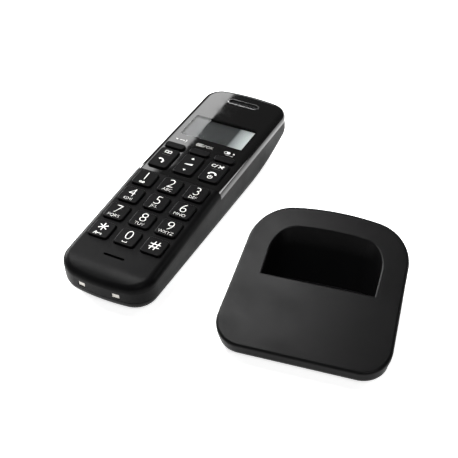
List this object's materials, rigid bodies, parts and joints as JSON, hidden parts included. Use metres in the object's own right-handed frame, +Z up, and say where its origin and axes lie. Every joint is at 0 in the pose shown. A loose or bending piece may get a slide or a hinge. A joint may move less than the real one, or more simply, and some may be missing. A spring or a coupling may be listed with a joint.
{
  "type": "cordless phone with charging base",
  "caption": "Black cordless telephone handset with raised keys and a display, lying on its back beside its sloping charging base.",
  "frame": {"origin": "on the floor, under the middle of the bounding box of handset and base together", "axes": "+Z up, -Y out of the front of the base, +X to the right; the handset lies to the left of the base, its earpiece end to the back"},
  "size_m": [0.1558, 0.1725, 0.0335],
  "materials": {
    "matte_black": "fine matte",
    "gloss_black": "high gloss",
    "lens_black": "high gloss, printed black behind",
    "clear_window": "clear",
    "lcd_grey": "dark grey display, off",
    "light_guide": "milky",
    "polished_black": "polished",
    "grille_black": "satin",
    "speaker_black": "satin",
    "silicone_grey": "matte",
    "board_green": "solder resist",
    "dome_steel": "plain",
    "capsule_steel": "plain",
    "shield_tin": "tinned",
    "tray_black": "plain",
    "cell_jacket": "printed wrap",
    "spring_steel": "plain",
    "contact_nickel": "nickel plated",
    "screw_steel": "zinc plated",
    "base_black": "fine matte",
    "socket_black": "plain",
    "button_grey": "satin",
    "switch_black": "plain",
    "foot_rubber": "matte",
    "key_black": "soft satin with off-white print"
  },
  "bodies": {
    "base": {"base_top_cover": "base_black", "base_lower_cover": "base_black", "base_board": "board_green", "base_shield": "shield_tin", "charge_springs": "spring_steel", "line_socket": "socket_black", "power_inlet": "socket_black", "page_switch": "switch_black", "rubber_feet": "foot_rubber", "base_screws": "screw_steel"},
    "handset": {"front_cover_lower": "matte_black", "front_cover_upper": "gloss_black", "lens_panel": "lens_black", "display_window": "clear_window", "lcd_glass": "lcd_grey", "backlight": "light_guide", "earpiece_rim": "polished_black", "earpiece_grille": "grille_black", "earpiece_speaker": "speaker_black", "keypad_mat": "silicone_grey", "keypad_board": "board_green", "dome_switches": "dome_steel", "microphone": "capsule_steel", "radio_board": "board_green", "radio_shield": "shield_tin", "ringer_speaker": "speaker_black", "rear_cover": "matte_black", "battery_tray": "tray_black", "battery_contacts": "spring_steel", "handset_charge_contacts": "contact_nickel", "handset_screws": "screw_steel", "battery_cell_left": "cell_jacket", "battery_cell_right": "cell_jacket"},
    "battery_cover": {"battery_cover": "matte_black"},
    "page_button": {"page_button": "button_grey"},
    "charge_pin_left": {"charge_pin_left": "contact_nickel"},
    "charge_pin_right": {"charge_pin_right": "contact_nickel"},
    "key_1": {"key_1": "key_black"},
    "key_2": {"key_2": "key_black"},
    "key_3": {"key_3": "key_black"},
    "key_4": {"key_4": "key_black"},
    "key_5": {"key_5": "key_black"},
    "key_6": {"key_6": "key_black"},
    "key_7": {"key_7": "key_black"},
    "key_8": {"key_8": "key_black"},
    "key_9": {"key_9": "key_black"},
    "key_star": {"key_star": "key_black"},
    "key_0": {"key_0": "key_black"},
    "key_hash": {"key_hash": "key_black"},
    "soft_key_left": {"soft_key_left": "key_black"},
    "soft_key_middle": {"soft_key_middle": "key_black"},
    "soft_key_right": {"soft_key_right": "key_black"},
    "talk_key": {"talk_key": "key_black"},
    "navigator_key": {"navigator_key": "key_black"},
    "off_key": {"off_key": "key_black"}
  },
  "joints": [
    {"name": "handset_lift", "type": "slide", "parent": "base", "child": "handset", "axis": [0, 0, 1], "range_m": [0, 0.12]},
    {"name": "battery_cover_slide", "type": "slide", "parent": "handset", "child": "battery_cover", "axis": [-0.1564, -0.9877, 0], "range_m": [0, 0.06]},
    {"name": "page_button_press", "type": "slide", "parent": "base", "child": "page_button", "axis": [0, -1, 0], "range_m": [0, 0.0008], "stiffness_N_per_m": 500},
    {"name": "charge_pin_left_press", "type": "slide", "parent": "base", "child": "charge_pin_left", "axis": [0, -0.3584, -0.9336], "range_m": [0, 0.0009], "stiffness_N_per_m": 400},
    {"name": "charge_pin_right_press", "type": "slide", "parent": "base", "child": "charge_pin_right", "axis": [0, -0.3584, -0.9336], "range_m": [0, 0.0009], "stiffness_N_per_m": 400},
    {"name": "key_1_press", "type": "slide", "parent": "handset", "child": "key_1", "axis": [0.0121, 0.0762, -0.997], "range_m": [0, 0.0006], "stiffness_N_per_m": 900},
    {"name": "key_2_press", "type": "slide", "parent": "handset", "child": "key_2", "axis": [0.0121, 0.0762, -0.997], "range_m": [0, 0.0006], "stiffness_N_per_m": 900},
    {"name": "key_3_press", "type": "slide", "parent": "handset", "child": "key_3", "axis": [0.0121, 0.0762, -0.997], "range_m": [0, 0.0006], "stiffness_N_per_m": 900},
    {"name": "key_4_press", "type": "slide", "parent": "handset", "child": "key_4", "axis": [0.0121, 0.0762, -0.997], "range_m": [0, 0.0006], "stiffness_N_per_m": 900},
    {"name": "key_5_press", "type": "slide", "parent": "handset", "child": "key_5", "axis": [0.0121, 0.0762, -0.997], "range_m": [0, 0.0006], "stiffness_N_per_m": 900},
    {"name": "key_6_press", "type": "slide", "parent": "handset", "child": "key_6", "axis": [0.0121, 0.0762, -0.997], "range_m": [0, 0.0006], "stiffness_N_per_m": 900},
    {"name": "key_7_press", "type": "slide", "parent": "handset", "child": "key_7", "axis": [0.0121, 0.0762, -0.997], "range_m": [0, 0.0006], "stiffness_N_per_m": 900},
    {"name": "key_8_press", "type": "slide", "parent": "handset", "child": "key_8", "axis": [0.0121, 0.0762, -0.997], "range_m": [0, 0.0006], "stiffness_N_per_m": 900},
    {"name": "key_9_press", "type": "slide", "parent": "handset", "child": "key_9", "axis": [0.0121, 0.0762, -0.997], "range_m": [0, 0.0006], "stiffness_N_per_m": 900},
    {"name": "key_star_press", "type": "slide", "parent": "handset", "child": "key_star", "axis": [0.0121, 0.0762, -0.997], "range_m": [0, 0.0006], "stiffness_N_per_m": 900},
    {"name": "key_0_press", "type": "slide", "parent": "handset", "child": "key_0", "axis": [0.0121, 0.0762, -0.997], "range_m": [0, 0.0006], "stiffness_N_per_m": 900},
    {"name": "key_hash_press", "type": "slide", "parent": "handset", "child": "key_hash", "axis": [0.0121, 0.0762, -0.997], "range_m": [0, 0.0006], "stiffness_N_per_m": 900},
    {"name": "soft_key_left_press", "type": "slide", "parent": "handset", "child": "soft_key_left", "axis": [0.0039, 0.0246, -0.9997], "range_m": [0, 0.0006], "stiffness_N_per_m": 900},
    {"name": "soft_key_middle_press", "type": "slide", "parent": "handset", "child": "soft_key_middle", "axis": [0.0039, 0.0246, -0.9997], "range_m": [0, 0.0006], "stiffness_N_per_m": 900},
    {"name": "soft_key_right_press", "type": "slide", "parent": "handset", "child": "soft_key_right", "axis": [0.0039, 0.0246, -0.9997], "range_m": [0, 0.0006], "stiffness_N_per_m": 900},
    {"name": "talk_key_rock", "type": "hinge", "parent": "handset", "child": "talk_key", "pos_m": [-0.05668, 0.01445, 0.02186], "axis": [0.9877, -0.1564, 0], "range_deg": [-3, 3], "stiffness_Nm_per_rad": 0.05},
    {"name": "navigator_key_rock", "type": "hinge", "parent": "handset", "child": "navigator_key", "pos_m": [-0.04265, 0.01223, 0.02186], "axis": [0.9877, -0.1564, 0], "range_deg": [-3, 3], "stiffness_Nm_per_rad": 0.05},
    {"name": "off_key_rock", "type": "hinge", "parent": "handset", "child": "off_key", "pos_m": [-0.02863, 0.01001, 0.02186], "axis": [0.9877, -0.1564, 0], "range_deg": [-3, 3], "stiffness_Nm_per_rad": 0.05}
  ]
}
